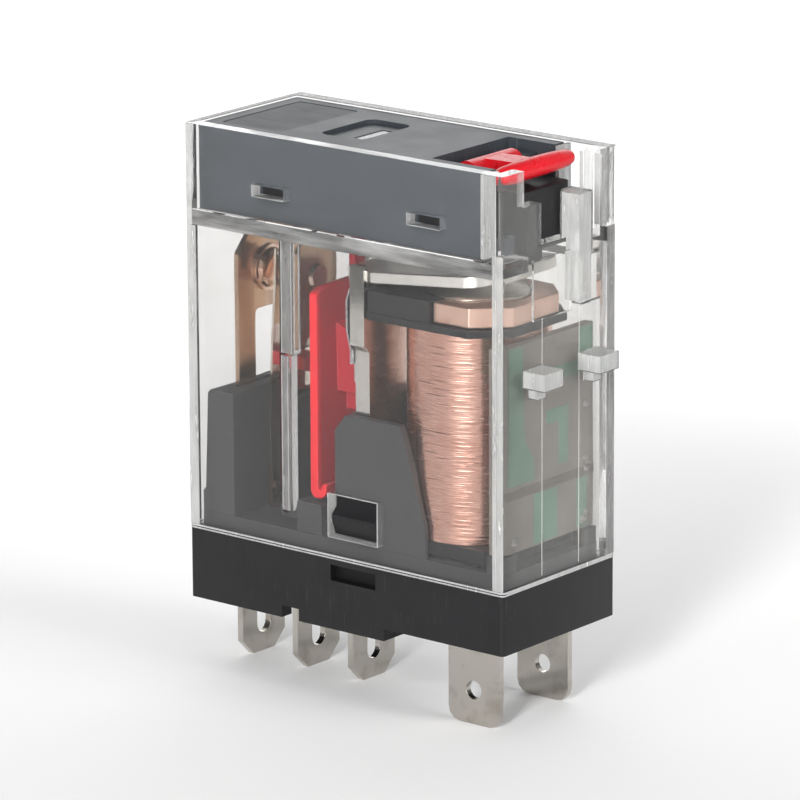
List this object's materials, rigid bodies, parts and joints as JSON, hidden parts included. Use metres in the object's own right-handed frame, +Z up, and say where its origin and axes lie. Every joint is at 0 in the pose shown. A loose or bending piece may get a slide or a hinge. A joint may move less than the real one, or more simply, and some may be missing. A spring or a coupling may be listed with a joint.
{
  "type": "plug-in control relay",
  "caption": "Slim plug-in control relay: clear cover, flat blades, coil magnet, changeover contact, card with flag, and a red test lever over a black plunger.",
  "frame": {"origin": "centre of the bounding box, at the height of the blade tips that it stands on", "axes": "+X from the contact end to the coil and board end, +Y across the body to the far side, +Z up along the blades to the test lever"},
  "size_m": [0.031, 0.013, 0.041],
  "materials": {
    "black_moulding": "fine satin moulded black plastic",
    "clear_moulding": "clear polished polycarbonate, open-topped shell",
    "grey_moulding": "satin moulded grey plastic with fine scuffs",
    "frosted_panel": "frosted matt panel, blank",
    "nickel_silver": "bright stamped nickel-plated copper alloy",
    "silver_contact": "polished silver alloy with a warm tint",
    "nickel_plate": "nickel-plated iron, softly bright",
    "copper_plate": "bare copper plate",
    "enamelled_wire": "fine enamelled copper wire, layer wound",
    "spring_steel": "bright spring steel",
    "red_moulding": "glossy signal red moulded plastic",
    "white_moulding": "matt white moulded plastic",
    "green_laminate": "glass-epoxy laminate with green mask and bare taupe areas",
    "green_lens": "tinted clear epoxy",
    "resistor_coat": "blue-grey lacquer",
    "diode_coat": "dark red-brown glass body"
  },
  "bodies": {
    "housing": {"base": "black_moulding", "cover": "clear_moulding", "top_insert": "grey_moulding", "label_panel": "frosted_panel", "terminal_no": "nickel_silver", "contact_no": "silver_contact", "terminal_com": "nickel_silver", "terminal_nc": "nickel_silver", "contact_nc": "silver_contact", "coil_terminal_near": "nickel_silver", "coil_terminal_far": "nickel_silver", "bobbin": "black_moulding", "coil_winding": "enamelled_wire", "core": "nickel_plate", "shading_ring": "copper_plate", "yoke": "nickel_plate", "return_spring": "spring_steel", "spring_rivet": "spring_steel", "circuit_board": "green_laminate", "led": "green_lens", "resistor": "resistor_coat", "diode": "diode_coat", "lever_pin": "spring_steel"},
    "armature_body": {"armature": "nickel_plate"},
    "card_body": {"card": "red_moulding", "indicator_flag": "white_moulding"},
    "moving_spring_body": {"moving_spring": "nickel_silver", "moving_contact": "silver_contact"},
    "lever_body": {"test_lever": "red_moulding"},
    "plunger_body": {"test_plunger": "black_moulding"}
  },
  "joints": [
    {"name": "armature_hinge", "type": "hinge", "parent": "housing", "child": "armature_body", "pos_m": [-0.00068, 0, 0.03125], "axis": [0, 1, 0], "range_deg": [0, 6.1], "stiffness_Nm_per_rad": 0.0005, "springref_deg": -5.73},
    {"name": "card_hinge", "type": "hinge", "parent": "housing", "child": "card_body", "pos_m": [-0.00458, 0, 0.0151], "axis": [0, -1, 0], "range_deg": [0, 3.11]},
    {"name": "moving_spring_hinge", "type": "hinge", "parent": "housing", "child": "moving_spring_body", "pos_m": [-0.01087, 0, 0.0142], "axis": [0, -1, 0], "range_deg": [0, 2.76]},
    {"name": "plunger_slide", "type": "slide", "parent": "housing", "child": "plunger_body", "axis": [0, 0, -1], "range_m": [0, 0.00112]},
    {"name": "test_lever_hinge", "type": "hinge", "parent": "housing", "child": "lever_body", "pos_m": [0.00732, 0, 0.0396], "axis": [0, -1, 0], "range_deg": [0, 90]}
  ],
  "couplings": [
    {"joint": "card_hinge", "follows": "armature_hinge", "ratio": 0.5082},
    {"joint": "moving_spring_hinge", "follows": "armature_hinge", "ratio": 0.45082},
    {"joint": "plunger_slide", "follows": "armature_hinge", "m_per_rad": 0.0104}
  ]
}
